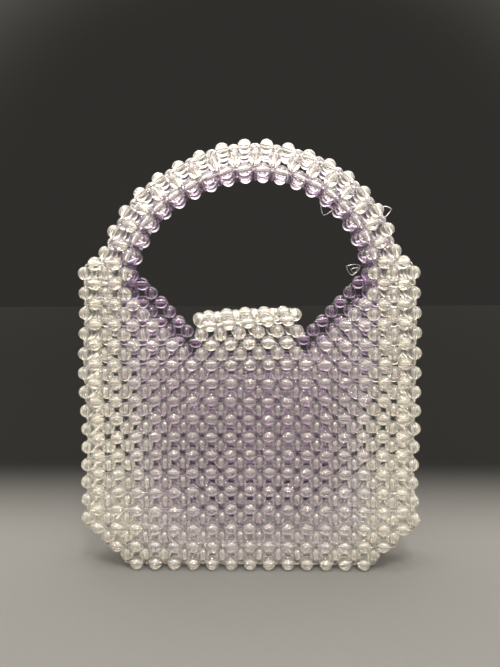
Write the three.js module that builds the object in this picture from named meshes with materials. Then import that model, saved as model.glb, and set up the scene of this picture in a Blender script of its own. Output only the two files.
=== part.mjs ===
// A handbag woven from round clear beads: two panels with a stepped neck, a gusset two cells deep that runs
// up both sides and under the base, an arched handle as deep as the gusset, and a short flap over the mouth.
// Four beads make one square cell of the weave, a bead along each side. Each piece is the solid of its weave:
// full bead thickness at every bead and thin where the beads leave a gap, so each bead stands out in relief.
// Millimetres, +Z up, the front faces -Y. The origin is the middle of the base, on the surface it stands on.
import * as THREE from "three";

// Driving dimensions
const BEAD = 9.8; // diameter of a bead
const CELL = 14.4; // side of a cell, from thread crossing to thread crossing
const STRETCHED_CELL = 15.2; // height of a cell in the upper rows, which the handle pulls on
const STRETCHED_ROWS = 5;
const COLUMNS = 17; // cells across a panel
const ROWS = 16; // cells from the base to the shoulder
const DEPTH = 2; // cells from the front panel to the back panel
const GAP_THICKNESS = 4.4; // of the weave between four beads
const SEAM_REACH = 0.8; // share of the half thickness that a seamed edge stands out, which keeps seams clear
const FLARE = 0.035; // how much wider the base is than the shoulder
const DENT = 7; // how far the empty front sinks in at its middle
const HANDLE_CELLS = 18; // along the arch, from shoulder to shoulder
const HANDLE_INNER_RADIUS = 98.4; // to the middle of the beads
const HANDLE_OUTER_RADIUS = 114.5;
const HANDLE_LEAN = 5; // how far the top of the arch hangs over to the right
const HANDLE_CENTRE_ROW = 2; // the arch is struck from this row of the panels
const FLAP_CELLS = 5; // across the flap
const FLAP_CROWN = 2; // how far the flap bulges up over the mouth
const FLAP_TILT = 3; // how far its right side rides up, and its left side down

// The cut of the panels from the side to the middle, mirrored beyond it. Rows count down from the shoulder.
const CUT = [
  { frontTop: 0, backTop: 0, bottom: 14 }, // the shoulder
  { frontTop: 0, backTop: 0, bottom: 15 }, // under the handle
  { frontTop: 2, backTop: 1, bottom: 16 },
  { frontTop: 3, backTop: 2, bottom: 16 },
  { frontTop: 4, backTop: 3, bottom: 16 },
  { frontTop: 5, backTop: 4, bottom: 16 }, // every cell from here to the middle
];

// The line of the gusset, from the left of the handle round the bag to its right.
const GUSSET_LINE = [
  { column: 1, row: 0 },
  { column: 0, row: 0 },
  { column: 0, row: 14 },
  { column: 1, row: 14 },
  { column: 1, row: 15 },
  { column: 2, row: 15 },
  { column: 2, row: 16 },
  { column: 15, row: 16 },
  { column: 15, row: 15 },
  { column: 16, row: 15 },
  { column: 16, row: 14 },
  { column: 17, row: 14 },
  { column: 17, row: 0 },
  { column: 16, row: 0 },
];
const THROAT = { column: 2, topRow: 0, bottomRow: 1 }; // the inner side of each leg of the handle

// Sizes that follow
const RADIUS = BEAD / 2;
const HALF = CELL / 2;
const FRONT_Y = (-DEPTH / 2) * CELL;
const BACK_Y = (DEPTH / 2) * CELL;
const SHOULDER_Z = heightOf(0);
const NECK_Z = heightOf(CUT[CUT.length - 1].frontTop);
const CORNER_Z = heightOf(CUT[0].bottom);

function acrossOf(column) {
  return (column - COLUMNS / 2) * CELL;
}

function heightOf(row) {
  const stretched = Math.max(0, STRETCHED_ROWS - row);
  const plain = ROWS - Math.max(row, STRETCHED_ROWS);
  return RADIUS + plain * CELL + stretched * STRETCHED_CELL;
}

// The weave's half thickness at a point of the lattice, which is counted in half cells: a bead lies where the
// two counts add up to an odd number, and a gap where they add up to an even one.
function halfThickness(a, b) {
  return Math.abs(a + b) % 2 === 1 ? RADIUS : GAP_THICKNESS / 2;
}

// The bag widens a little from the shoulder to the base.
function flared(point) {
  const below = Math.max(0, (SHOULDER_Z - point.z) / SHOULDER_Z);
  point.x *= 1 + FLARE * below;
  return point;
}

// The hollow of the empty front, deepest in the middle of the panel between the neck and the lower corners.
function dentAt(x, z) {
  const side = x / acrossOf(COLUMNS);
  const up = THREE.MathUtils.clamp((z - CORNER_Z) / (NECK_Z - CORNER_Z), 0, 1);
  return DENT * (1 - side * side) * Math.sin(Math.PI * up);
}

function geometryOf(points, faces) {
  const geometry = new THREE.BufferGeometry();
  geometry.setAttribute("position", new THREE.Float32BufferAttribute(points.flatMap((p) => p.toArray()), 3));
  geometry.setIndex(faces.flat());
  geometry.computeVertexNormals();
  return geometry;
}

// A closed sheet of weave. as and bs are the lattice lines it spans, inside(i, j) says which squares between
// them it fills, and place(a, b) gives a point of its middle surface with the outward normal there, where a, b
// and the normal are right-handed. The edge is a ridge as round as the beads on it, times reach. outerHalf
// gives the outer face a thickness of its own.
function wovenSheet({ as, bs, place, inside = () => true, reach = 1, outerHalf = halfThickness }) {
  const points = [];
  const faces = [];
  const spots = new Map();
  const filled = (i, j) => i >= 0 && j >= 0 && i < as.length - 1 && j < bs.length - 1 && inside(i, j);
  const keep = (point) => points.push(point) - 1;

  function spot(i, j) {
    const key = i + "," + j;
    if (!spots.has(key)) {
      const [a, b] = [as[i], bs[j]];
      const { point, normal } = place(a, b);
      spots.set(key, {
        point,
        half: halfThickness(a, b),
        outer: keep(point.clone().addScaledVector(normal, outerHalf(a, b))),
        inner: keep(point.clone().addScaledVector(normal, -halfThickness(a, b))),
        away: new THREE.Vector3(),
      });
    }
    return spots.get(key);
  }

  const edges = [];
  for (let i = 0; i < as.length - 1; i++) {
    for (let j = 0; j < bs.length - 1; j++) {
      if (!filled(i, j)) continue;
      const corners = [spot(i, j), spot(i + 1, j), spot(i + 1, j + 1), spot(i, j + 1)];
      const beyond = [filled(i, j - 1), filled(i + 1, j), filled(i, j + 1), filled(i - 1, j)];
      // Both faces fold along the valley from gap to gap.
      const start = corners[0].half < RADIUS ? 1 : 0;
      const [p, q, r, s] = [0, 1, 2, 3].map((k) => corners[(start + k) % 4]);
      faces.push([q.outer, r.outer, s.outer], [q.outer, s.outer, p.outer]);
      faces.push([q.inner, s.inner, r.inner], [q.inner, p.inner, s.inner]);
      const middle = corners.reduce((sum, c) => sum.add(c.point), new THREE.Vector3()).divideScalar(4);
      corners.forEach((from, k) => {
        if (beyond[k]) return;
        const to = corners[(k + 1) % 4];
        const away = from.point.clone().add(to.point).divideScalar(2).sub(middle).normalize();
        from.away.add(away);
        to.away.add(away);
        edges.push([from, to]);
      });
    }
  }
  for (const edge of edges) {
    for (const end of edge) {
      end.ridge ??= keep(end.point.clone().addScaledVector(end.away.normalize(), end.half * reach));
    }
    const [from, to] = edge;
    faces.push([from.outer, from.ridge, to.ridge], [from.outer, to.ridge, to.outer]);
    faces.push([from.inner, to.ridge, from.ridge], [from.inner, to.inner, to.ridge]);
  }
  return geometryOf(points, faces);
}

function wholeNumbers(first, last) {
  return Array.from({ length: last - first + 1 }, (_, k) => first + k);
}

// A front or back panel. The lattice counts half cells across and down from the shoulder.
function panel(topName, y, outward, dentShare) {
  return wovenSheet({
    as: wholeNumbers(0, 2 * COLUMNS),
    bs: wholeNumbers(0, 2 * ROWS),
    inside(i, j) {
      const cell = Math.floor(i / 2);
      const row = Math.floor(j / 2);
      const cut = CUT[Math.min(cell, COLUMNS - 1 - cell, CUT.length - 1)];
      return row >= cut[topName] && row < cut.bottom;
    },
    place(a, b) {
      const [x, z] = [outward * acrossOf(a / 2), heightOf(b / 2)];
      const point = flared(new THREE.Vector3(x, y + dentShare * dentAt(x, z), z));
      return { point, normal: new THREE.Vector3(0, outward, 0) };
    },
  });
}

// The gusset's line in half cells: each point with the way out of the bag there, halved between two runs at a corner.
function gussetStations() {
  const stations = [];
  for (let k = 0; k < GUSSET_LINE.length - 1; k++) {
    const [from, to] = [GUSSET_LINE[k], GUSSET_LINE[k + 1]];
    const [columns, rows] = [to.column - from.column, to.row - from.row];
    const out = new THREE.Vector3(-rows, 0, -columns).normalize();
    const steps = 2 * (Math.abs(columns) + Math.abs(rows));
    if (stations.length) stations[stations.length - 1].normal.add(out).normalize();
    for (let step = stations.length ? 1 : 0; step <= steps; step++) {
      const column = from.column + (columns * step) / steps;
      const row = from.row + (rows * step) / steps;
      const point = new THREE.Vector3(acrossOf(column), 0, heightOf(row));
      stations.push({ point, normal: out.clone() });
    }
  }
  return stations;
}

// A stretch of the gusset between two stations. It spans the middle of the depth, up to the panels' own beads.
function gusset(stations, first, last, outerHalf) {
  return wovenSheet({
    as: wholeNumbers(1 - DEPTH, DEPTH - 1),
    bs: wholeNumbers(first, last),
    reach: SEAM_REACH,
    outerHalf,
    place(a, b) {
      const { point, normal } = stations[b];
      const placed = flared(point.clone().setY(a * HALF));
      return { point: placed, normal: normal.clone() };
    },
  });
}

// The inner side of one leg of the handle, between the neck of the two panels.
function throat(side) {
  const column = side < 0 ? THROAT.column : COLUMNS - THROAT.column;
  return wovenSheet({
    as: wholeNumbers(1 - DEPTH, DEPTH - 1),
    bs: wholeNumbers(2 * THROAT.topRow, 2 * THROAT.bottomRow),
    reach: SEAM_REACH,
    place(a, b) {
      const point = flared(new THREE.Vector3(acrossOf(column), side * a * HALF, heightOf(b / 2)));
      return { point, normal: new THREE.Vector3(-side, 0, 0) };
    },
  });
}

// The flap rises from the back panel, crosses the mouth and comes down to the front panel's neck.
function flap() {
  const topRow = CUT[CUT.length - 1].backTop - 1;
  const rise = 2; // half cells up the back
  const over = 2 * DEPTH; // half cells across the top
  const fall = 4; // half cells down the front
  const width = FLAP_CELLS * CELL;
  return wovenSheet({
    as: wholeNumbers(0, 2 * FLAP_CELLS),
    bs: wholeNumbers(1, rise + over + fall - 1),
    reach: SEAM_REACH,
    place(a, b) {
      const x = width / 2 - a * HALF;
      const onTop = THREE.MathUtils.clamp((b - rise) / over, 0, 1);
      const down = Math.max(rise - b, b - rise - over, 0);
      const y = THREE.MathUtils.lerp(BACK_Y, FRONT_Y, onTop);
      const lift = FLAP_CROWN * Math.sin(Math.PI * onTop);
      const share = down / (b > rise ? fall : rise);
      const tilt = FLAP_TILT * (x / (width / 2)) * (1 - share) ** 3;
      const out = new THREE.Vector3(0, 0, 0);
      if (b <= rise) out.y += 1;
      if (b >= rise && b <= rise + over) out.z += 1;
      if (b >= rise + over) out.y -= 1;
      const z = heightOf(topRow + down / 2) + lift + tilt;
      return { point: flared(new THREE.Vector3(x, y, z)), normal: out.normalize() };
    },
  });
}

// The twelve lattice lines round the handle, in half cells: outwards from the arch's inner side, and in depth.
const HANDLE_SECTION = [
  { out: 0, depth: -2 },
  { out: 1, depth: -2 },
  { out: 2, depth: -2 },
  { out: 2, depth: -1 },
  { out: 2, depth: 0 },
  { out: 2, depth: 1 },
  { out: 2, depth: 2 },
  { out: 1, depth: 2 },
  { out: 0, depth: 2 },
  { out: 0, depth: 1 },
  { out: 0, depth: 0 },
  { out: 0, depth: -1 },
];

// A point of the handle's lattice: along counts half cells from the left shoulder to the right one.
function handlePoint(along, out, depth) {
  const centreZ = heightOf(HANDLE_CENTRE_ROW);
  const rise = SHOULDER_Z - centreZ;
  const radius = THREE.MathUtils.lerp(HANDLE_INNER_RADIUS, HANDLE_OUTER_RADIUS, out / 2);
  const first = Math.asin(rise / radius);
  const angle = Math.PI - first - (along / (2 * HANDLE_CELLS)) * (Math.PI - 2 * first);
  const away = new THREE.Vector3(Math.cos(angle), 0, Math.sin(angle));
  const point = away.clone().multiplyScalar(radius).setY(depth * HALF);
  point.z += centreZ;
  point.x += (HANDLE_LEAN * (point.z - SHOULDER_Z)) / (centreZ + HANDLE_OUTER_RADIUS - SHOULDER_Z);
  return { point, away, ahead: new THREE.Vector3(away.z, 0, -away.x) };
}

// The handle: a woven arch, closed at both feet, whose end beads reach down between the beads of the shoulder.
function handle() {
  const last = 2 * HANDLE_CELLS - 1;
  const count = HANDLE_SECTION.length;
  const points = [];
  const faces = [];

  function ring(along, endwise) {
    const first = points.length;
    HANDLE_SECTION.forEach(({ out, depth }, k) => {
      const { point, away, ahead } = handlePoint(along, out, depth);
      const half = halfThickness(k, along);
      if (endwise) {
        point.addScaledVector(ahead, endwise * half * SEAM_REACH);
      } else {
        const normal = away.multiplyScalar(out - 1);
        if (Math.abs(depth) === DEPTH) normal.y += Math.sign(depth);
        point.addScaledVector(normal.normalize(), half);
      }
      points.push(point);
    });
    return first;
  }

  function join(before, after, along) {
    for (let k = 0; k < count; k++) {
      const next = (k + 1) % count;
      const [p, q, r, s] = [before + k, before + next, after + next, after + k];
      if ((k + along) % 2 === 0) faces.push([q, p, s], [q, s, r]);
      else faces.push([p, s, r], [p, r, q]);
    }
  }

  function cap(first, along, turned) {
    const middle = points.push(handlePoint(along, 1, 0).point) - 1;
    for (let k = 0; k < count; k++) {
      const pair = [first + k, first + ((k + 1) % count)];
      faces.push([middle, ...(turned ? pair.reverse() : pair)]);
    }
  }

  let before = ring(1, -1);
  cap(before, 1, false);
  for (let along = 1; along <= last; along++) {
    const after = ring(along, 0);
    join(before, after, along);
    before = after;
  }
  const end = ring(last, 1);
  join(before, end, last);
  cap(end, last, true);
  return geometryOf(points, faces);
}

// Clear acrylic with a breath of lilac, deeper where the bag's inside shows.
const CLEAR_BEADS = { color: 0xe9e2ea, roughness: 0.08, metalness: 0, flatShading: true };
const LILAC_BEADS = { color: 0xcdbbd6, roughness: 0.08, metalness: 0, flatShading: true };

const bag = new THREE.Group();

function addPiece(name, geometry, look) {
  const mesh = new THREE.Mesh(geometry, new THREE.MeshStandardMaterial(look));
  mesh.name = name;
  bag.add(mesh);
}

const stations = gussetStations();
const sideEnd = 2 + 2 * CUT[0].bottom; // the station of the first corner of the base, owned by the base
const lastStation = stations.length - 1;
const onTheFloor = (a, b) => (stations[b].point.z === RADIUS ? RADIUS : halfThickness(a, b));

addPiece("front_panel", panel("frontTop", FRONT_Y, -1, 1), LILAC_BEADS);
addPiece("back_panel", panel("backTop", BACK_Y, 1, 0), LILAC_BEADS);
addPiece("left_side", gusset(stations, 0, sideEnd - 1), CLEAR_BEADS);
addPiece("right_side", gusset(stations, lastStation - sideEnd + 1, lastStation), CLEAR_BEADS);
addPiece("base", gusset(stations, sideEnd, lastStation - sideEnd, onTheFloor), CLEAR_BEADS);
addPiece("left_throat", throat(-1), LILAC_BEADS);
addPiece("right_throat", throat(1), LILAC_BEADS);
addPiece("handle", handle(), CLEAR_BEADS);
addPiece("flap", flap(), CLEAR_BEADS);

export default bag;
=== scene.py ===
"""Dresses the woven handbag: every bead drilled and strung, in clear lilac acrylic on clear nylon line."""
import math

import bpy
import numpy as np
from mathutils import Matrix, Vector
from mathutils.kdtree import KDTree


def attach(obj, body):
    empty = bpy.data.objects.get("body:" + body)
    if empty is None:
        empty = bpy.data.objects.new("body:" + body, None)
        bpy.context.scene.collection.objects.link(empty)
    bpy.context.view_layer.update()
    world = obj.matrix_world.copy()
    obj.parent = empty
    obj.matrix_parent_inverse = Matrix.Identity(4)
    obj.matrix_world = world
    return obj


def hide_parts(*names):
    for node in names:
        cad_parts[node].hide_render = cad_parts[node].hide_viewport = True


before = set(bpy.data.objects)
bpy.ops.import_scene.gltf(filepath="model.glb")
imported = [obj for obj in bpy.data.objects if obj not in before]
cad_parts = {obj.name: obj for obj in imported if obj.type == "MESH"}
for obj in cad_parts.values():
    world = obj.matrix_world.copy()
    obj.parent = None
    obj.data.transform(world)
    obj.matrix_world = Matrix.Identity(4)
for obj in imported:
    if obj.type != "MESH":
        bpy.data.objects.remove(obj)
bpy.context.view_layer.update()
SEED = 7
rng = np.random.default_rng(SEED)

# The weave, in metres: the same lattice that the solids are built on
MM = 0.001
BEAD = 10.1 * MM
RADIUS = BEAD / 2
CELL = 14.4 * MM
HALF = CELL / 2
STRETCHED_CELL = 15.2 * MM
STRETCHED_ROWS = 5
COLUMNS = 17
ROWS = 16
FLARE = 0.035
DENT = 7 * MM
FRONT_Y = -CELL
BACK_Y = CELL

# The cut of the panels from the side to the middle: first row of the front, of the back, and last row
CUT = [(0, 0, 14), (0, 0, 15), (2, 1, 16), (3, 2, 16), (4, 3, 16), (5, 4, 16)]
FRONT_TOP, BACK_TOP, BOTTOM = range(3)

# The gusset's line round the bag, as corners in (column, row). Its stations lie half a cell apart.
GUSSET_LINE = [(1, 0), (0, 0), (0, 14), (1, 14), (1, 15), (2, 15), (2, 16)]
GUSSET_LINE += [(COLUMNS - column, row) for column, row in reversed(GUSSET_LINE)]
SHOULDER_STATION = 2
SIDE_STATIONS = SHOULDER_STATION + 2 * CUT[0][BOTTOM]

# The columns at which the handle's legs are closed towards the mouth
THROAT_COLUMNS = (2, COLUMNS - 2)

# The handle: an arch of cells between two radii, leaning to the right
HANDLE_CELLS = 18
HANDLE_INNER_RADIUS = 98.4 * MM
HANDLE_OUTER_RADIUS = 114.5 * MM
HANDLE_LEAN = 5 * MM
HANDLE_CENTRE_ROW = 2

# The flap, in half cells: up from the back panel, over the mouth and down to the front panel's neck.
# It is crowned, lifted and tilted, and its back edge is skewed to the left. LIFT_FADE is the power with
# which the lift and the tilt fade out down both of its ends.
FLAP_CELLS = 5
FLAP_RISE, FLAP_OVER, FLAP_FALL = 2, 4, 4
FLAP_CROWN = 4.5 * MM
FLAP_LIFT = 1.2 * MM
FLAP_TILT = 1.8 * MM
FLAP_SKEW = 5.5 * MM
LIFT_FADE = 3

# One bead: a sphere drilled along its axis
HOLE_RADIUS = 1.4 * MM
BEAD_SEGMENTS = 22
BEAD_RINGS = 13

# How the beads sit. SLACK and TURN are how far each may lie off its place and its axis by chance.
SLACK = 0.09 * MM
TURN = 0.07
PROUD = 0.9 * MM
EDGE_PUSH = 0.9 * MM
CROSS_DRAW = 0.9
SETTLE_ROUNDS = 60
SETTLE_GAP = 0.02 * MM

# A bead lies along a direction when more than this share of its axis does
ALONG = 0.5

# The nylon line, and its way round one cell in half cells: through four beads, rounding the crossings
LINE_RADIUS = 0.18 * MM
LINE_SIDES = 4
LOOP_INSET = 0.05
LOOP_ROUND = 0.33
LOOP_CORNER_POINTS = 3

# Ends of the line that spring out of the weave as pointed loops: two roots and a tip each, in millimetres
LOOSE_LINE_RADIUS = 0.35 * MM
LOOSE_LOOPS = [
    ((54.7, -8, 282.3), (63, -8, 279.6), (56, -8, 274.5)),
    ((100.2, -4, 280.5), (101, -4, 272.5), (107.6, -4, 279.2)),
    ((85.6, 0, 237), (80.1, 0, 229.6), (74.9, 0, 236.8)),
    ((85.6, 1, 235), (82.1, 1, 231), (78.5, 1, 234.6)),
]
LEAF_POINTS = 9
LEAF_REACH = 0.45
LEAF_SPREAD = 0.15


def across_of(column):
    return (column - COLUMNS / 2) * CELL


def height_of(row):
    stretched = np.maximum(0, STRETCHED_ROWS - row)
    plain = ROWS - np.maximum(row, STRETCHED_ROWS)
    return RADIUS + plain * CELL + stretched * STRETCHED_CELL


def unit(vectors):
    return vectors / np.linalg.norm(vectors, axis=1, keepdims=True)


SIDE_X = across_of(COLUMNS)
SHOULDER_Z = height_of(0)
NECK_Z = height_of(CUT[-1][FRONT_TOP])
CORNER_Z = height_of(CUT[0][BOTTOM])
HANDLE_CENTRE_Z = height_of(HANDLE_CENTRE_ROW)


def flared(points):
    """Widens the bag a little from the shoulder to the base."""
    below = np.maximum(0, (SHOULDER_Z - points[..., 2]) / SHOULDER_Z)
    out = points.copy()
    out[..., 0] *= 1 + FLARE * below
    return out


def dent_at(x, z):
    """How far the empty front sinks in, deepest in the middle below the neck."""
    side = x / SIDE_X
    up = np.clip((z - CORNER_Z) / (NECK_Z - CORNER_Z), 0, 1)
    return DENT * (1 - side * side) * np.sin(math.pi * up)


# The weave's own give: slow waves in which a cell grows wider as it grows lower, so its beads still touch.
# Each has its length, its size, and its phases across and up. TWIST turns them from the front to the back.
SWAYS = [(150 * MM, 0.8 * MM, 0.4, 1.9), (88 * MM, 0.45 * MM, 2.3, 0.6)]
TWIST = 0.06 / MM

# Shallow bulges in depth: their size, how slowly they change across and up, and their phase
BULGE = 0.5 * MM
BULGE_ACROSS = 15 * MM
BULGE_UP = 18 * MM
BULGE_PHASE = 1.1

# All of this fades out from here down to the floor
RESTING_HEIGHT = 3 * CELL


def relaxed(points):
    """Lets the weave give a little, as no hand-strung lattice is quite even, but not where it rests."""
    x, y, z = points[..., 0], points[..., 1], points[..., 2]
    moved = np.zeros_like(points)
    for length, size, phase_x, phase_z in SWAYS:
        across = 2 * math.pi * x / length + phase_x + TWIST * y
        up = 2 * math.pi * z / length + phase_z - TWIST * y
        moved[..., 0] += size * np.sin(across) * np.cos(up)
        moved[..., 2] -= size * np.cos(across) * np.sin(up)
    moved[..., 1] = BULGE * np.sin(x / BULGE_ACROSS + BULGE_PHASE) * np.sin(z / BULGE_UP)
    free = np.clip(z / RESTING_HEIGHT, 0, 1)
    return points + moved * free[..., None]


# Each piece is a surface lattice counted in half cells. at(a, b) gives its points, and the cells tell which
# squares it fills. A bead sits on the middle of each cell side, with its hole along the side.

def panel_at(y, dent_share):
    def at(a, b):
        x, z = across_of(a / 2), height_of(b / 2)
        return flared(np.stack([x, y + dent_share * dent_at(x, z), z], axis=-1))
    return at


def panel_cells(top):
    cells = []
    for column in range(COLUMNS):
        cut = CUT[min(column, COLUMNS - 1 - column, len(CUT) - 1)]
        cells += [(column, row) for row in range(cut[top], cut[BOTTOM])]
    return cells


def gusset_stations():
    corners = np.array(GUSSET_LINE, dtype=float)
    spots = [corners[0]]
    for start, end in zip(corners, corners[1:]):
        steps = round(2 * np.abs(end - start).sum())
        spots += [start + (end - start) * k / steps for k in range(1, steps + 1)]
    column, row = np.array(spots).T
    return np.stack([across_of(column), np.zeros(len(column)), height_of(row)], axis=-1)


STATIONS = gusset_stations()
LAST_STATION = len(STATIONS) - 1


def gusset_at(a, b):
    steps = np.arange(LAST_STATION + 1)
    line = np.stack([np.interp(b, steps, STATIONS[:, k]) for k in range(3)], axis=-1)
    line[..., 1] = a * HALF
    return flared(line)


def throat_at(column):
    def at(a, b):
        x = np.full(np.shape(a), across_of(column))
        return flared(np.stack([x, a * HALF, height_of(b / 2)], axis=-1))
    return at


def flap_at(a, b):
    width = FLAP_CELLS * CELL
    x = a * HALF - width / 2
    on_top = np.clip((b - FLAP_RISE) / FLAP_OVER, 0, 1)
    down = np.maximum(np.maximum(FLAP_RISE - b, b - FLAP_RISE - FLAP_OVER), 0)
    share = down / np.where(b > FLAP_RISE, FLAP_FALL, FLAP_RISE)
    y = BACK_Y + (FRONT_Y - BACK_Y) * on_top
    lift = (FLAP_LIFT + FLAP_TILT * x / (width / 2)) * (1 - share) ** LIFT_FADE
    crown = FLAP_CROWN * np.sin(math.pi * on_top)
    z = height_of(CUT[-1][BACK_TOP] - 1 + down / 2) + crown + lift
    to_back = np.minimum((FLAP_RISE + FLAP_OVER - b) / FLAP_OVER, b / FLAP_RISE)
    skew = FLAP_SKEW * np.clip(to_back, 0, 1)
    return flared(np.stack([x - skew, y, z], axis=-1))


def handle_lean(z):
    return HANDLE_LEAN * (z - SHOULDER_Z) / (HANDLE_CENTRE_Z + HANDLE_OUTER_RADIUS - SHOULDER_Z)


def handle_point(along, out, depth):
    radius = HANDLE_INNER_RADIUS + (HANDLE_OUTER_RADIUS - HANDLE_INNER_RADIUS) * out / 2
    first = np.arcsin((SHOULDER_Z - HANDLE_CENTRE_Z) / radius)
    angle = math.pi - first - along / (2 * HANDLE_CELLS) * (math.pi - 2 * first)
    z = HANDLE_CENTRE_Z + radius * np.sin(angle)
    return np.stack([radius * np.cos(angle) + handle_lean(z), depth * HALF, z], axis=-1)


def handle_face_at(depth):
    """The front or the back of the handle, which runs outwards at one depth."""
    return lambda a, b: handle_point(b, a, np.full(np.shape(a), depth))


def handle_rim_at(out):
    """The inner or the outer side of the handle, which runs in depth at one radius."""
    return lambda a, b: handle_point(b, np.full(np.shape(a), out), a)


# The beads of a sheet: their centres, their axes and the cells that the line loops round

def sides_of(cells):
    """The sides of a set of cells: the middle of each in half cells, and the lattice step along it."""
    sides = {}
    for column, row in cells:
        for offset_a, offset_b, step in ((1, 0, (1, 0)), (1, 2, (1, 0)), (0, 1, (0, 1)), (2, 1, (0, 1))):
            sides[(2 * column + offset_a, 2 * row + offset_b)] = step
    return sides


def sheet(at, cells, shift=0, leave_out=lambda a, b: False):
    """The beads and line loops of one sheet. shift moves the a count, and leave_out drops shared beads."""
    shifted = {(a + shift, b): step for (a, b), step in sides_of(cells).items()}
    sides = {middle: step for middle, step in shifted.items() if not leave_out(*middle)}
    a, b = np.array(list(sides), dtype=float).T
    half_a, half_b = 0.5 * np.array(list(sides.values())).T
    axes = at(a + half_a, b + half_b) - at(a - half_a, b - half_b)
    return at(a, b), axes, [(at, 2 * column + shift, 2 * row) for column, row in cells]


def lies_level(axes):
    return np.abs(unit(axes)[:, 2]) < ALONG


def lies_crosswise(axes):
    return np.abs(unit(axes)[:, 1]) > ALONG


def proud(made, outwards):
    """Lets the level beads stand out of a sheet a little, and the upright ones sink back as far."""
    centres, axes, loops = made
    push = np.where(lies_level(axes), 1, -1)
    return centres + push[:, None] * np.array(outwards), axes, loops


def on_side(centres):
    """Which beads lie at the left or the right side of the bag."""
    return np.abs(centres[:, 0]) > SIDE_X - CELL / 4


def edged(made):
    """Lets the upright beads along a panel's two sides stand out."""
    centres, axes, loops = made
    at_edge = on_side(centres) & ~lies_level(axes)
    push = np.where(at_edge, np.sign(centres[:, 0]) * EDGE_PUSH, 0)
    return centres + push[:, None] * np.array((1, 0, 0)), axes, loops


def nestled(made):
    """Sinks the gusset's cross beads between the ones that run along it, and draws them together."""
    centres, axes, loops = made
    crosswise = lies_crosswise(axes)
    at_side = on_side(centres)
    out = centres.copy()
    push = np.where(crosswise, -EDGE_PUSH, EDGE_PUSH) * np.sign(centres[:, 0])
    out[:, 0] += np.where(at_side, push, 0)
    out[:, 1] *= np.where(at_side & crosswise, CROSS_DRAW, 1)
    return out, axes, loops


def puffed(made):
    """Sinks the handle's cross beads between its long rows, and lets the radial ones stand out."""
    centres, axes, loops = made
    x, y, z = centres.T
    arm = np.stack([x - handle_lean(z), np.zeros(len(x)), z - HANDLE_CENTRE_Z], axis=-1)
    radius = np.linalg.norm(arm, axis=1)
    outwards = unit(arm)
    radial = np.abs((unit(axes) * outwards).sum(axis=1)) > ALONG
    side = np.sign(radius - (HANDLE_INNER_RADIUS + HANDLE_OUTER_RADIUS) / 2)
    sunk = np.where(lies_crosswise(axes), EDGE_PUSH * side, 0)
    stand_out = np.where(radial, np.sign(y) * EDGE_PUSH / 2, 0)
    return centres - sunk[:, None] * outwards + stand_out[:, None] * np.array((0, 1, 0)), axes, loops


def joined(*sheets):
    centres = np.concatenate([s[0] for s in sheets])
    axes = np.concatenate([s[1] for s in sheets])
    loops = [loop for s in sheets for loop in s[2]]
    return centres, axes, loops


def strip(at, first, last, open_stations=()):
    """A strip two cells deep between two sheets, which own the beads along its long edges.

    open_stations have no beads.
    """
    cells = [(column, row) for column in (0, 1) for row in range(first // 2, (last + 1) // 2)]

    def left_out(a, b):
        return abs(a) == 2 or b < first or b > last or b in open_stations

    return sheet(at, cells, shift=-2, leave_out=left_out)


def handle_sheets():
    """The handle's front and back, and its outer and inner side between them, all without the end rows."""
    ends = (0, 2 * HANDLE_CELLS)
    cells = [(0, row) for row in range(HANDLE_CELLS)]
    faces = [sheet(handle_face_at(depth), cells, leave_out=lambda a, b: b in ends) for depth in (-2.0, 2.0)]
    rims = [strip(handle_rim_at(out), ends[0] + 1, ends[1] - 1) for out in (2.0, 0.0)]
    return faces + rims


def flap_sheet():
    """The flap without its end rows, which the two panels own."""
    ends = (0, FLAP_RISE + FLAP_OVER + FLAP_FALL)
    cells = [(column, row) for column in range(FLAP_CELLS) for row in range(ends[1] // 2)]
    return sheet(flap_at, cells, leave_out=lambda a, b: b in ends)


# Bead and line meshes

def bead_template():
    """Points and faces of one drilled bead along +Z. The last ring joins the first through the hole."""
    tip = math.asin(HOLE_RADIUS / RADIUS)
    polar = np.linspace(tip, math.pi - tip, BEAD_RINGS)
    turn = np.arange(BEAD_SEGMENTS) * 2 * math.pi / BEAD_SEGMENTS
    points = np.stack([
        np.outer(np.sin(polar), np.cos(turn)),
        np.outer(np.sin(polar), np.sin(turn)),
        np.outer(np.cos(polar), np.ones(BEAD_SEGMENTS)),
    ], axis=-1).reshape(-1, 3) * RADIUS
    ring, segment = np.meshgrid(np.arange(BEAD_RINGS), np.arange(BEAD_SEGMENTS), indexing="ij")
    after = (ring + 1) % BEAD_RINGS
    beside = (segment + 1) % BEAD_SEGMENTS
    corners = [(ring, segment), (after, segment), (after, beside), (ring, beside)]
    faces = np.stack([r * BEAD_SEGMENTS + s for r, s in corners], axis=-1).reshape(-1, 4)
    return points, faces


# A bead whose axis leans further towards X than this takes its frame from Y
LEANS_TO_X = 0.8


def turned_to(axes):
    """A right-handed frame for each axis, spun about it by chance, with the axis as the third column."""
    third = unit(axes)
    helper = np.where(np.abs(third[:, :1]) < LEANS_TO_X, [[1.0, 0, 0]], [[0, 1.0, 0]])
    first = unit(np.cross(helper, third))
    second = np.cross(third, first)
    spin = rng.uniform(0, 2 * math.pi, len(axes))[:, None]
    return np.stack([
        first * np.cos(spin) + second * np.sin(spin),
        second * np.cos(spin) - first * np.sin(spin),
        third,
    ], axis=-1)


def new_object(name, data):
    """A new object in the scene, with a mesh, a light or a camera as its data."""
    thing = bpy.data.objects.new(name, data)
    bpy.context.scene.collection.objects.link(thing)
    return thing


def mesh_object(name, points, faces, *materials):
    mesh = bpy.data.meshes.new(name)
    mesh.from_pydata(points.tolist(), [], faces.tolist())
    mesh.polygons.foreach_set("use_smooth", np.ones(len(mesh.polygons), dtype=bool))
    for material in materials:
        mesh.materials.append(material)
    return new_object(name, mesh)


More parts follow.
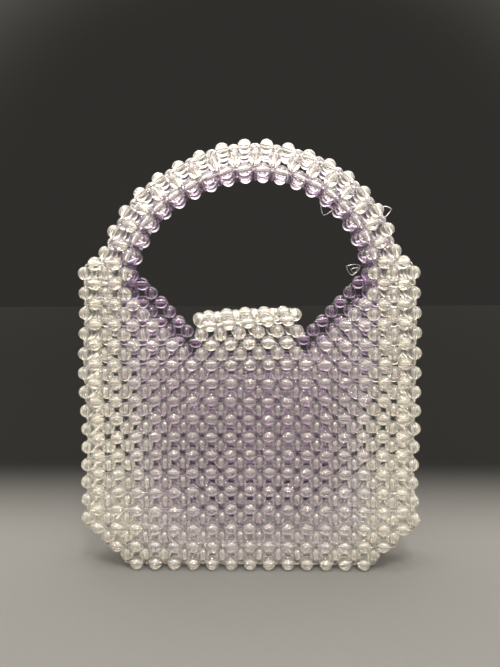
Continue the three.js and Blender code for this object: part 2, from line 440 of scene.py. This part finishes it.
def bag_piece(name, points, faces, *materials):
    """A mesh that belongs to the bag."""
    piece = mesh_object(name, points, faces, *materials)
    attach(piece, "root")
    return piece


def sharpen_rims(mesh):
    """Keeps the edge of each drilled hole crisp."""
    ends = np.empty(2 * len(mesh.edges), dtype=np.int32)
    mesh.edges.foreach_get("vertices", ends)
    rings = (ends % (BEAD_SEGMENTS * BEAD_RINGS)) // BEAD_SEGMENTS
    first, second = rings[0::2], rings[1::2]
    rim = (first == second) & ((first == 0) | (first == BEAD_RINGS - 1))
    sharp = mesh.attributes.new("sharp_edge", "BOOLEAN", "EDGE")
    sharp.data.foreach_set("value", rim)


def strewn(centres):
    """Moves beads by the give of the weave, and a little by chance."""
    return relaxed(centres) + rng.normal(0, SLACK / 2, centres.shape).clip(-SLACK, SLACK)


def crowded(places):
    """The pairs of beads that cut into each other."""
    tree = KDTree(len(places))
    for index, place in enumerate(places):
        tree.insert(place, index)
    tree.balance()
    pairs = []
    for index, place in enumerate(places):
        pairs += [(index, other) for _, other, _ in tree.find_range(place, BEAD) if index < other]
    return np.array(pairs, dtype=int).reshape(-1, 2)


def settled(places):
    """Moves beads apart, and up from the floor, in small steps until they just touch."""
    places = places.copy()
    for _ in range(SETTLE_ROUNDS):
        places[:, 2] = np.maximum(places[:, 2], RADIUS)
        first, second = crowded(places).T
        apart = places[second] - places[first]
        distance = np.linalg.norm(apart, axis=1, keepdims=True)
        push = (BEAD + SETTLE_GAP - distance) / 2 * apart / distance
        np.add.at(places, first, -push)
        np.add.at(places, second, push)
    places[:, 2] = np.maximum(places[:, 2], RADIUS)
    return places


def beads(name, places, axes, grades, skins, bore):
    """The beads of one piece as one mesh. grades tells which of the skins each bead has."""
    points, faces = bead_template()
    frames = turned_to(unit(axes) + rng.normal(0, TURN, axes.shape))
    placed = np.einsum("nij,kj->nki", frames, points) + places[:, None, :]
    linked = faces[None] + (np.arange(len(places)) * len(points))[:, None, None]
    piece = bag_piece(name, placed.reshape(-1, 3), linked.reshape(-1, 4), *skins, bore)
    in_bore = np.arange(len(faces)) // BEAD_SEGMENTS == BEAD_RINGS - 1
    shades = np.where(in_bore[None, :], len(skins), grades[:, None])
    piece.data.polygons.foreach_set("material_index", shades.reshape(-1).astype(np.int32))
    sharpen_rims(piece.data)
    return piece


def tube(path, radius):
    """Points and faces of a thin tube along a closed path."""
    count = len(path)
    ahead = unit(np.roll(path, -1, axis=0) - np.roll(path, 1, axis=0))
    normal = np.linalg.svd(path - path.mean(axis=0))[2][2]
    side = unit(np.cross(ahead, normal))
    up = np.cross(side, ahead)
    angle = np.arange(LINE_SIDES) * 2 * math.pi / LINE_SIDES
    ring = side[:, None] * np.cos(angle)[:, None] + up[:, None] * np.sin(angle)[:, None]
    points = (path[:, None] + radius * ring).reshape(-1, 3)
    faces = []
    for k in range(count):
        here, after = k * LINE_SIDES, (k + 1) % count * LINE_SIDES
        for s in range(LINE_SIDES):
            beside = (s + 1) % LINE_SIDES
            faces.append((here + s, here + beside, after + beside, after + s))
    return points, faces


def loop_outline():
    """The line's way round one cell, in half cells from the cell's corner."""
    low, high = LOOP_INSET, 2 - LOOP_INSET
    outline = []
    for quarter, (ca, cb) in enumerate(((high, low), (high, high), (low, high), (low, low))):
        inwards_a = -LOOP_ROUND if ca == high else LOOP_ROUND
        inwards_b = -LOOP_ROUND if cb == high else LOOP_ROUND
        for turn in np.linspace(0, math.pi / 2, LOOP_CORNER_POINTS):
            angle = turn + (quarter - 1) * math.pi / 2
            outline.append((ca + inwards_a + LOOP_ROUND * math.cos(angle),
                            cb + inwards_b + LOOP_ROUND * math.sin(angle)))
    return np.array(outline)


def leaf(first, second, tip):
    """A loop of line that leaves the weave at two roots and is kinked to a point at its tip."""
    first, second, tip = (np.array(spot) * MM for spot in (first, second, tip))
    middle = (first + second) / 2
    share = np.linspace(0, 1, LEAF_POINTS)[:, None]

    def swept(root):
        bulge = root + LEAF_REACH * (tip - middle) + LEAF_SPREAD * (root - middle)
        return root * (1 - share) ** 2 + 2 * bulge * share * (1 - share) + tip * share ** 2

    return np.concatenate([swept(first), swept(second)[-2::-1]])


def nylon_line(name, loops, material):
    """All the line of the bag: a loop through the four beads of every cell, and the loose ends."""
    outline = loop_outline()
    runs = [(relaxed(at(outline[:, 0] + a, outline[:, 1] + b)), LINE_RADIUS) for at, a, b in loops]
    runs += [(leaf(*spots), LOOSE_LINE_RADIUS) for spots in LOOSE_LOOPS]
    points, faces, start = [], [], 0
    for path, radius in runs:
        ring_points, ring_faces = tube(path, radius)
        points.append(ring_points)
        faces += [tuple(start + k for k in face) for face in ring_faces]
        start += len(ring_points)
    return bag_piece(name, np.concatenate(points), np.array(faces), material)


# Nodes and materials

def new_material(name):
    material = bpy.data.materials.new(name)
    material.use_nodes = True
    return material, material.node_tree, material.node_tree.nodes["Principled BSDF"]


def place_parts(tree, coordinates):
    """The X, Y and Z of a place, in the named kind of coordinates."""
    place = tree.nodes.new("ShaderNodeTexCoord")
    parts = tree.nodes.new("ShaderNodeSeparateXYZ")
    tree.links.new(place.outputs[coordinates], parts.inputs["Vector"])
    return parts.outputs


def ramp(tree, value, limits, results, style="SMOOTHSTEP"):
    """Leads from one result to the other as the value goes from the one limit to the other."""
    step = tree.nodes.new("ShaderNodeMapRange")
    step.interpolation_type = style
    step.inputs["From Min"].default_value, step.inputs["From Max"].default_value = limits
    step.inputs["To Min"].default_value, step.inputs["To Max"].default_value = results
    tree.links.new(value, step.inputs["Value"])
    return step.outputs["Result"]


ACRYLIC_IOR = 1.49
NYLON_IOR = 1.53
RIM_ROUGHNESS = 0.2
HAZE_SCALE = 420
HAZE_DETAIL = 3
HAZE_LIMITS = (0.45, 0.75)


def clear_plastic(name, tint, clear, gloss, ior=ACRYLIC_IOR, rim=0.0):
    """Tinted plastic, a little milky. Its handling haze wanders between the two roughnesses of gloss."""
    material, tree, shader = new_material(name)
    shader.inputs["Base Color"].default_value = (*tint, 1)
    shader.inputs["Transmission Weight"].default_value = clear
    shader.inputs["IOR"].default_value = ior
    shader.inputs["Sheen Weight"].default_value = rim
    shader.inputs["Sheen Roughness"].default_value = RIM_ROUGHNESS
    place = tree.nodes.new("ShaderNodeTexCoord")
    haze = tree.nodes.new("ShaderNodeTexNoise")
    haze.inputs["Scale"].default_value = HAZE_SCALE
    haze.inputs["Detail"].default_value = HAZE_DETAIL
    tree.links.new(place.outputs["Object"], haze.inputs["Vector"])
    roughness = ramp(tree, haze.outputs["Fac"], HAZE_LIMITS, gloss, style="LINEAR")
    tree.links.new(roughness, shader.inputs["Roughness"])
    return material


# The tints are lit and shaded copies of one clear lilac acrylic, from nearly clear, painted light, to the
# deep lilac of painted shade for the layers that lie in shade, and how clear each is
TINTS = {
    "clear_acrylic": ((0.99, 0.965, 0.9), 0.91),
    "pale_lilac_acrylic": ((0.96, 0.93, 0.935), 0.94),
    "lilac_acrylic": ((0.9, 0.86, 0.86), 0.96),
    "shaded_mid_lilac_acrylic": ((0.78, 0.68, 0.82), 0.94),
    "shaded_dusk_lilac_acrylic": ((0.63, 0.52, 0.68), 0.94),
    "shaded_deep_lilac_acrylic": ((0.5, 0.38, 0.56), 0.94),
}
# The clear copy stands for the lit places; the deeper lilacs are painted shade
CLEAR, PALE_LILAC, _, SHADED_MID_LILAC, _, SHADED_DEEP_LILAC = range(len(TINTS))
POLISHED = (0.015, 0.08)
BEAD_RIM = 1.0
bead_skins = [clear_plastic(name, *looks, POLISHED, rim=BEAD_RIM) for name, looks in TINTS.items()]
bore_frost = clear_plastic("frosted_bore", tint=(0.98, 0.96, 0.94), clear=0.9, gloss=(0.12, 0.25))
line_clear = clear_plastic("nylon_line", tint=(0.95, 0.95, 0.96), clear=0.96, gloss=(0.05, 0.14),
                           ior=NYLON_IOR)

# The pieces, each in place of its solid
front = edged(proud(sheet(panel_at(FRONT_Y, 1), panel_cells(FRONT_TOP)), (0, -PROUD, 0)))
back = edged(proud(sheet(panel_at(BACK_Y, 0), panel_cells(BACK_TOP)), (0, PROUD, 0)))
left = nestled(strip(gusset_at, 0, SIDE_STATIONS - 1, open_stations=(SHOULDER_STATION,)))
right = nestled(strip(gusset_at, LAST_STATION - SIDE_STATIONS + 1, LAST_STATION,
                      open_stations=(LAST_STATION - SHOULDER_STATION,)))
base = strip(gusset_at, SIDE_STATIONS, LAST_STATION - SIDE_STATIONS)
left_throat, right_throat = [strip(throat_at(column), 0, 2) for column in THROAT_COLUMNS]
handle = puffed(joined(*handle_sheets()))
flap = flap_sheet()


# Which tint each bead of a piece has: painted light and shade, clearer where a bead lies in light and
# deeper lilac where it lies in shade

def even(grade):
    """One grade for all the beads of a piece."""
    return lambda places: np.full(len(places), grade)


# A place counts this many cells in at the sides and under the base, and the corner between them is rounded
SIDE_MARGIN = 0.5
BASE_MARGIN = 2
EDGE_ROUND = 2.5


def cells_from_edge(places):
    """How many cells a place lies in from the sides and the base of a panel, rounded off at its corners."""
    from_side = SIDE_MARGIN + (SIDE_X - np.abs(places[:, 0])) / CELL
    from_base = BASE_MARGIN + places[:, 2] / CELL
    nearest = (from_side ** -EDGE_ROUND + from_base ** -EDGE_ROUND) ** (-1 / EDGE_ROUND)
    return nearest - SIDE_MARGIN


# How many cells in from the edge each next, deeper tint of painted shade begins, on the front, on the back
# and at the back's mouth
FRONT_STEPS = (2.1, 3.0)
BACK_STEPS = np.array((1.2, 1.8, 2.4, 3.0, 3.6))
MOUTH_STEP = 1.2
MOUTH_FADE = 3 * CELL


def front_grades(places):
    """Painted light and shade: the front is lilac inside, as shaded, and clear towards its sides and its
    base, as lit.
    """
    return np.digitize(cells_from_edge(places), FRONT_STEPS)


def back_grades(places):
    """Painted shade: the back is like the front but deeper inside, where the bag shades it, and deep lilac
    nearly up to its sides at the mouth, which lies in shade.
    """
    near_mouth = np.clip((places[:, 2:] - NECK_Z) / MOUTH_FADE + 1, 0, 1)
    steps = BACK_STEPS + (MOUTH_STEP - BACK_STEPS) * near_mouth
    return (cells_from_edge(places)[:, None] > steps).sum(axis=1)


# Where the handle's painted shade begins: how far out its underside reaches, and its back and its front in
# depth
UNDER_SHARE = 0.25
SHADED_BEHIND_Y = 0.5 * HALF
BRIGHT_BEFORE_Y = -1.5 * HALF


def handle_grades(places):
    """Painted light and shade: the handle is clear where lit, on its front and its crown, and lilac where
    shaded, under its arch and on its back.
    """
    x, y, z = places.T
    radius = np.hypot(x - handle_lean(z), z - HANDLE_CENTRE_Z)
    under = radius < HANDLE_INNER_RADIUS + UNDER_SHARE * (HANDLE_OUTER_RADIUS - HANDLE_INNER_RADIUS)
    shaded = np.where(under | (y > SHADED_BEHIND_Y), SHADED_MID_LILAC, PALE_LILAC)
    return np.where(y < BRIGHT_BEFORE_Y, np.where(under, PALE_LILAC, CLEAR), shaded)


# The throats, deep in the mouth, are painted in shade all through, and the sides, the base and the flap are
# all in the clear copy, painted as lit
PIECES = {
    "front_panel": (front, "lilac_beads", front_grades),
    "back_panel": (back, "lilac_beads", back_grades),
    "left_side": (left, "clear_beads", even(CLEAR)),
    "right_side": (right, "clear_beads", even(CLEAR)),
    "base": (base, "clear_beads", even(CLEAR)),
    "left_throat": (left_throat, "lilac_beads", even(SHADED_DEEP_LILAC)),
    "right_throat": (right_throat, "lilac_beads", even(SHADED_DEEP_LILAC)),
    "handle": (handle, "clear_beads", handle_grades),
    "flap": (flap, "clear_beads", even(CLEAR)),
}

# The two panels have so many beads that each comes as two meshes, its level beads and its upright ones
IN_TWO = ("front_panel", "back_panel")
strewn_places = [strewn(made[0]) for made, _, _ in PIECES.values()]
piece_ends = np.cumsum([len(places) for places in strewn_places])
settled_places = np.split(settled(np.concatenate(strewn_places)), piece_ends[:-1])
all_loops = []
for (node, (made, slot, grades_of)), places in zip(PIECES.items(), settled_places):
    centres, axes, loops = made
    level = lies_level(axes)
    whole = {"": np.ones(len(level), dtype=bool)}
    shares = {"_level": level, "_upright": ~level} if node in IN_TWO else whole
    for share, chosen in shares.items():
        grades = grades_of(centres[chosen])
        piece = beads(node + share + "_beads", places[chosen], axes[chosen], grades, bead_skins, bore_frost)
        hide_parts(node)
    all_loops += loops
thread = nylon_line("nylon_line", all_loops, line_clear)

# The stage: a wide floor of studio paper, pale under the bag and graded to charcoal behind it
FLOOR_HALF_WIDTH = 4
FLOOR_CORNERS = np.array([(-1, -1, 0), (1, -1, 0), (1, 1, 0), (-1, 1, 0)])
PALE = (0.115, 0.113, 0.111, 1)
CHARCOAL = (0.004, 0.004, 0.0038, 1)
FADE_LIMITS = (0.02, 0.24)
PAPER_ROUGHNESS = 0.8
PAPER_SPECULAR = 0.1


def graded_paper(name):
    """Matt paper, graded from pale to charcoal along the depth of the floor."""
    material, tree, shader = new_material(name)
    shader.inputs["Roughness"].default_value = PAPER_ROUGHNESS
    shader.inputs["Specular IOR Level"].default_value = PAPER_SPECULAR
    fade = ramp(tree, place_parts(tree, "Object")["Y"], FADE_LIMITS, (0, 1))
    grade = tree.nodes.new("ShaderNodeMix")
    grade.data_type = "RGBA"
    grade.inputs["A"].default_value = PALE
    grade.inputs["B"].default_value = CHARCOAL
    tree.links.new(fade, grade.inputs["Factor"])
    tree.links.new(grade.outputs["Result"], shader.inputs["Base Color"])
    return material


paper = mesh_object("paper_floor", FLOOR_HALF_WIDTH * FLOOR_CORNERS, np.array([(0, 1, 2, 3)]),
                    graded_paper("studio_paper"))

# The light: a bright room in front of the bag and a dim one behind it, two ceiling panels and a lamp.
# The room fades out to the back and grows brighter to the ceiling between these Y and Z of a direction.
# ROOM_DIM comes from all round.
WARM = (1.0, 0.955, 0.86)
BACK_LIMITS = (0.25, 0.9)
CEILING_LIMITS = (0.05, 0.9)
ROOM_FRONT = 0.3
ROOM_CEILING = 3.5
ROOM_DIM = 0.029

# Each lamp's place, what it points at, its width and depth, all in metres, and its power in watts
LAMPS = {
    "ceiling_above": ((-0.05, -0.1, 0.85), (0, 0, 0.2), (1.0, 0.6), 4),
    "ceiling_lamp": ((0.1, -0.7, 1.3), (0, 0, 0.15), (0.2, 0.2), 13),
    "ceiling_behind": ((0, 0.45, 0.95), (0, 0, 0.28), (1.2, 0.4), 3),
}


def room_light():
    """The world's light by direction: bright in front, at -Y, brighter to the ceiling, and dim behind."""
    world = bpy.data.worlds.new("room")
    bpy.context.scene.world = world
    world.use_nodes = True
    tree = world.node_tree
    parts = place_parts(tree, "Generated")
    bright = tree.nodes.new("ShaderNodeMath")
    bright.operation = "MULTIPLY"
    tree.links.new(ramp(tree, parts["Y"], BACK_LIMITS, (1, 0)), bright.inputs[0])
    tree.links.new(ramp(tree, parts["Z"], CEILING_LIMITS, (ROOM_FRONT, ROOM_CEILING)), bright.inputs[1])
    with_dim = tree.nodes.new("ShaderNodeMath")
    with_dim.operation = "ADD"
    with_dim.inputs[1].default_value = ROOM_DIM
    tree.links.new(bright.outputs["Value"], with_dim.inputs[0])
    background = tree.nodes["Background"]
    background.inputs["Color"].default_value = (*WARM, 1)
    tree.links.new(with_dim.outputs["Value"], background.inputs["Strength"])


def softbox(name, place, target, size, power):
    light = bpy.data.lights.new(name, "AREA")
    light.shape = "RECTANGLE"
    light.size, light.size_y = size
    light.energy = power
    light.color = WARM
    lamp = new_object(name, light)
    lamp.location = place
    lamp.rotation_euler = (Vector(target) - Vector(place)).to_track_quat("-Z", "Y").to_euler()


room_light()
for lamp_name, lamp_settings in LAMPS.items():
    softbox(lamp_name, *lamp_settings)

# The camera, where the photograph was taken from: its place in metres and its turns in degrees
FOCAL_PIXELS = 540
FRAME_WIDTH = 500
SENSOR = 36
NEAREST = 0.01
CAMERA_PLACE = (8.1 * MM, -419.5 * MM, 228 * MM)
CAMERA_PITCH, CAMERA_ROLL, CAMERA_YAW = 90 - 5.85, 0.25, 1.01
camera_data = bpy.data.cameras.new("camera")
camera_data.sensor_fit = "HORIZONTAL"
camera_data.sensor_width = SENSOR
camera_data.lens = SENSOR * FOCAL_PIXELS / FRAME_WIDTH
camera_data.clip_start = NEAREST
camera = new_object("camera", camera_data)
camera.location = CAMERA_PLACE
camera.rotation_euler = [math.radians(turn) for turn in (CAMERA_PITCH, CAMERA_ROLL, CAMERA_YAW)]
bpy.context.scene.camera = camera

# Light has to pass through many beads one behind the other
BEAD_BOUNCES = 24
cycles = bpy.context.scene.cycles
cycles.max_bounces = BEAD_BOUNCES
cycles.transmission_bounces = BEAD_BOUNCES
cycles.glossy_bounces = 8
cycles.diffuse_bounces = 3
cycles.caustics_reflective = False
cycles.blur_glossy = 0.1
cycles.sample_clamp_indirect = 0
bpy.context.scene.view_settings.view_transform = "Standard"

bpy.context.view_layer.update()
